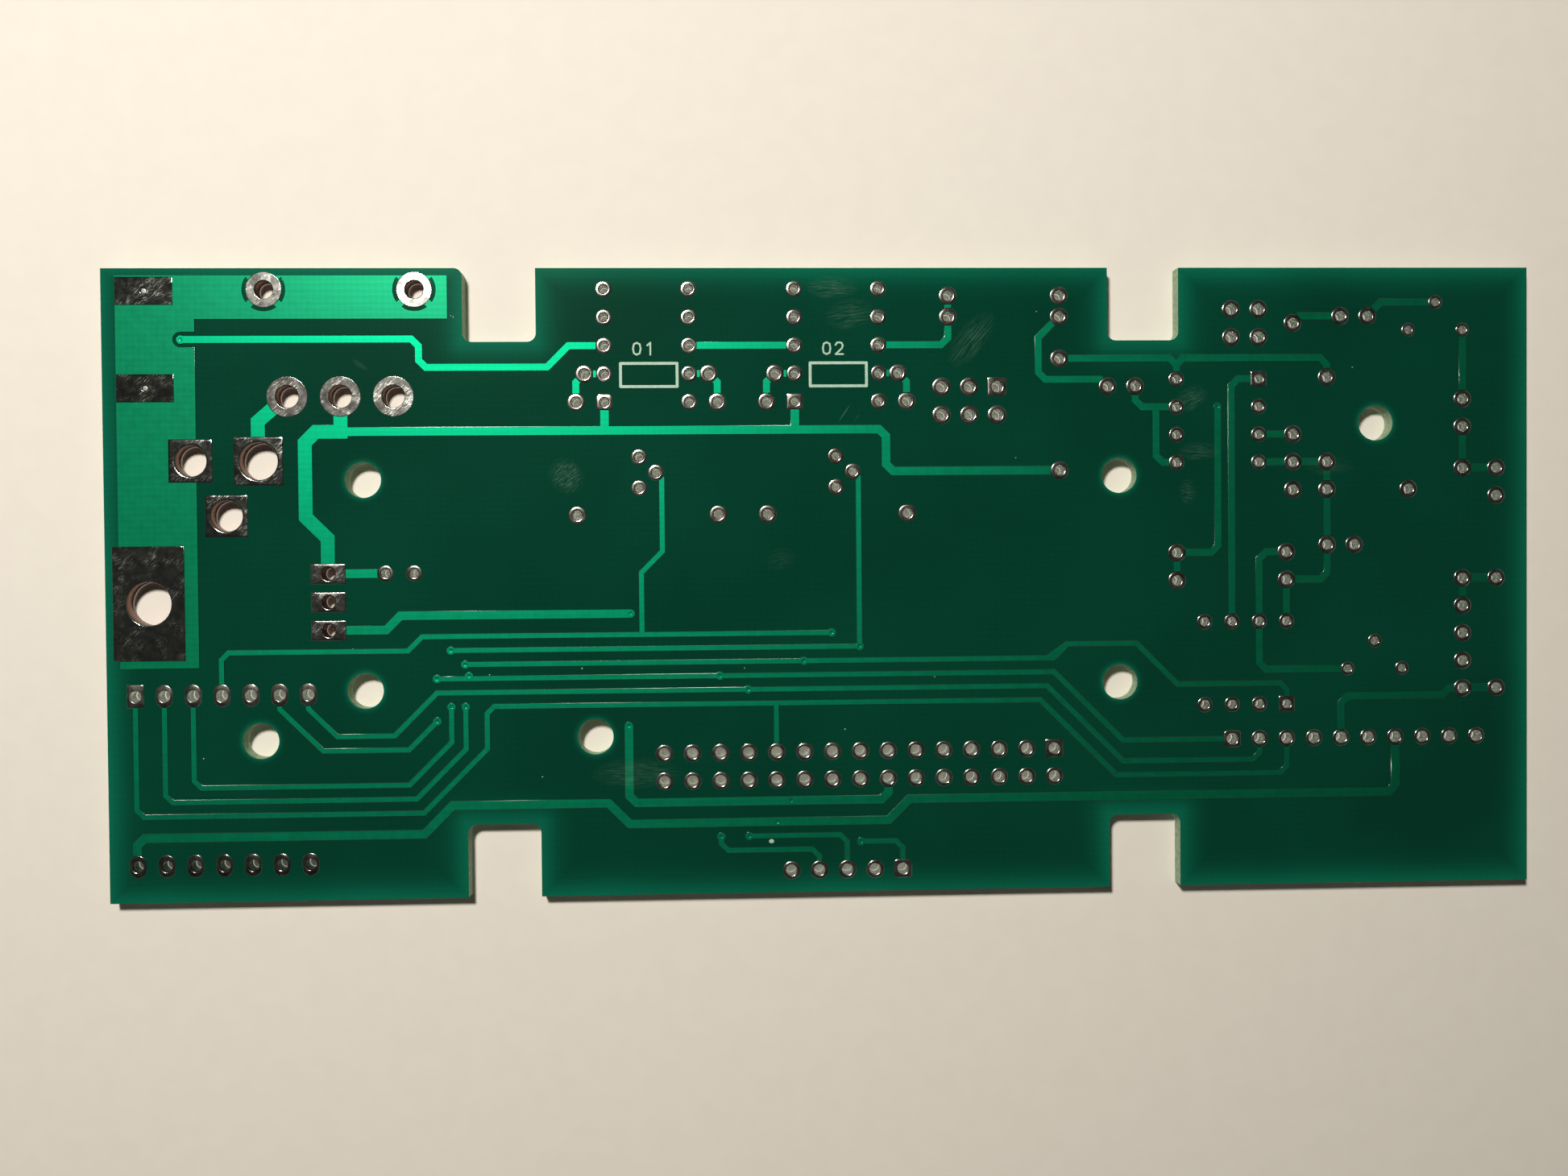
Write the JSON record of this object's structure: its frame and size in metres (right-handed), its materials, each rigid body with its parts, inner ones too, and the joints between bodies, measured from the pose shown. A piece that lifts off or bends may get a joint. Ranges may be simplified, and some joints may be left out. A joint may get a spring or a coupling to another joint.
{
  "type": "signal generator circuit board",
  "caption": "Bare drilled circuit board for a signal generator, with lacquered tracks, tinned lands and notched long edges, lying solder side up.",
  "frame": {"origin": "under the middle of the sheet, on the face that it lies on", "axes": "+X along the board towards the right of the picture, +Y across it towards the picture's top, +Z out of the solder side"},
  "size_m": [0.1292, 0.0566, 0.0016],
  "materials": {
    "green_laminate": "green lacquer over glass-epoxy, gloss",
    "lacquered_copper": "green lacquer over copper, gloss",
    "tinned_copper": "tinned, dull and lightly scratched"
  },
  "bodies": {
    "root": {"bare_plates": "tinned_copper", "block_link": "lacquered_copper", "block_side_links": "lacquered_copper", "border_track": "lacquered_copper", "bus_track_1": "lacquered_copper", "bus_track_2": "lacquered_copper", "bus_track_3": "lacquered_copper", "bus_track_4": "lacquered_copper", "bus_track_5": "lacquered_copper", "bus_track_6": "lacquered_copper", "centre_part_lands": "tinned_copper", "chip_track_1": "lacquered_copper", "chip_track_2": "lacquered_copper", "chip_track_3": "lacquered_copper", "chip_track_4": "lacquered_copper", "chip_track_5": "lacquered_copper", "chip_track_6": "lacquered_copper", "copper_pour": "lacquered_copper", "edge_part_lands": "tinned_copper", "edge_tracks": "lacquered_copper", "five_pin_lands": "tinned_copper", "five_pin_track_1": "lacquered_copper", "five_pin_track_2": "lacquered_copper", "five_pin_track_3": "lacquered_copper", "four_pin_lands": "tinned_copper", "header_supply_track": "lacquered_copper", "input_part_lands": "tinned_copper", "input_track_1": "lacquered_copper", "input_track_2": "lacquered_copper", "jack_lands": "tinned_copper", "jack_link": "lacquered_copper", "laminate": "green_laminate", "left_block_lands": "tinned_copper", "left_driver_lands": "tinned_copper", "long_header_lands": "tinned_copper", "lower_chip_lands": "tinned_copper", "lower_row_lands": "tinned_copper", "output_part_lands": "tinned_copper", "output_tracks": "lacquered_copper", "power_pin_lands": "tinned_copper", "regulator_feed": "lacquered_copper", "regulator_lands": "tinned_copper", "regulator_link": "lacquered_copper", "right_block_lands": "tinned_copper", "right_driver_lands": "tinned_copper", "row_track_1": "lacquered_copper", "row_track_2": "lacquered_copper", "row_track_3": "lacquered_copper", "six_pin_lands": "tinned_copper", "supply_rail": "lacquered_copper", "tab_land": "tinned_copper", "ten_pin_lands": "tinned_copper", "thermal_lands": "tinned_copper", "two_pin_lands": "tinned_copper", "upper_chip_lands": "tinned_copper", "upper_feed_track": "lacquered_copper", "upper_row_lands": "tinned_copper"}
  },
  "joints": []
}
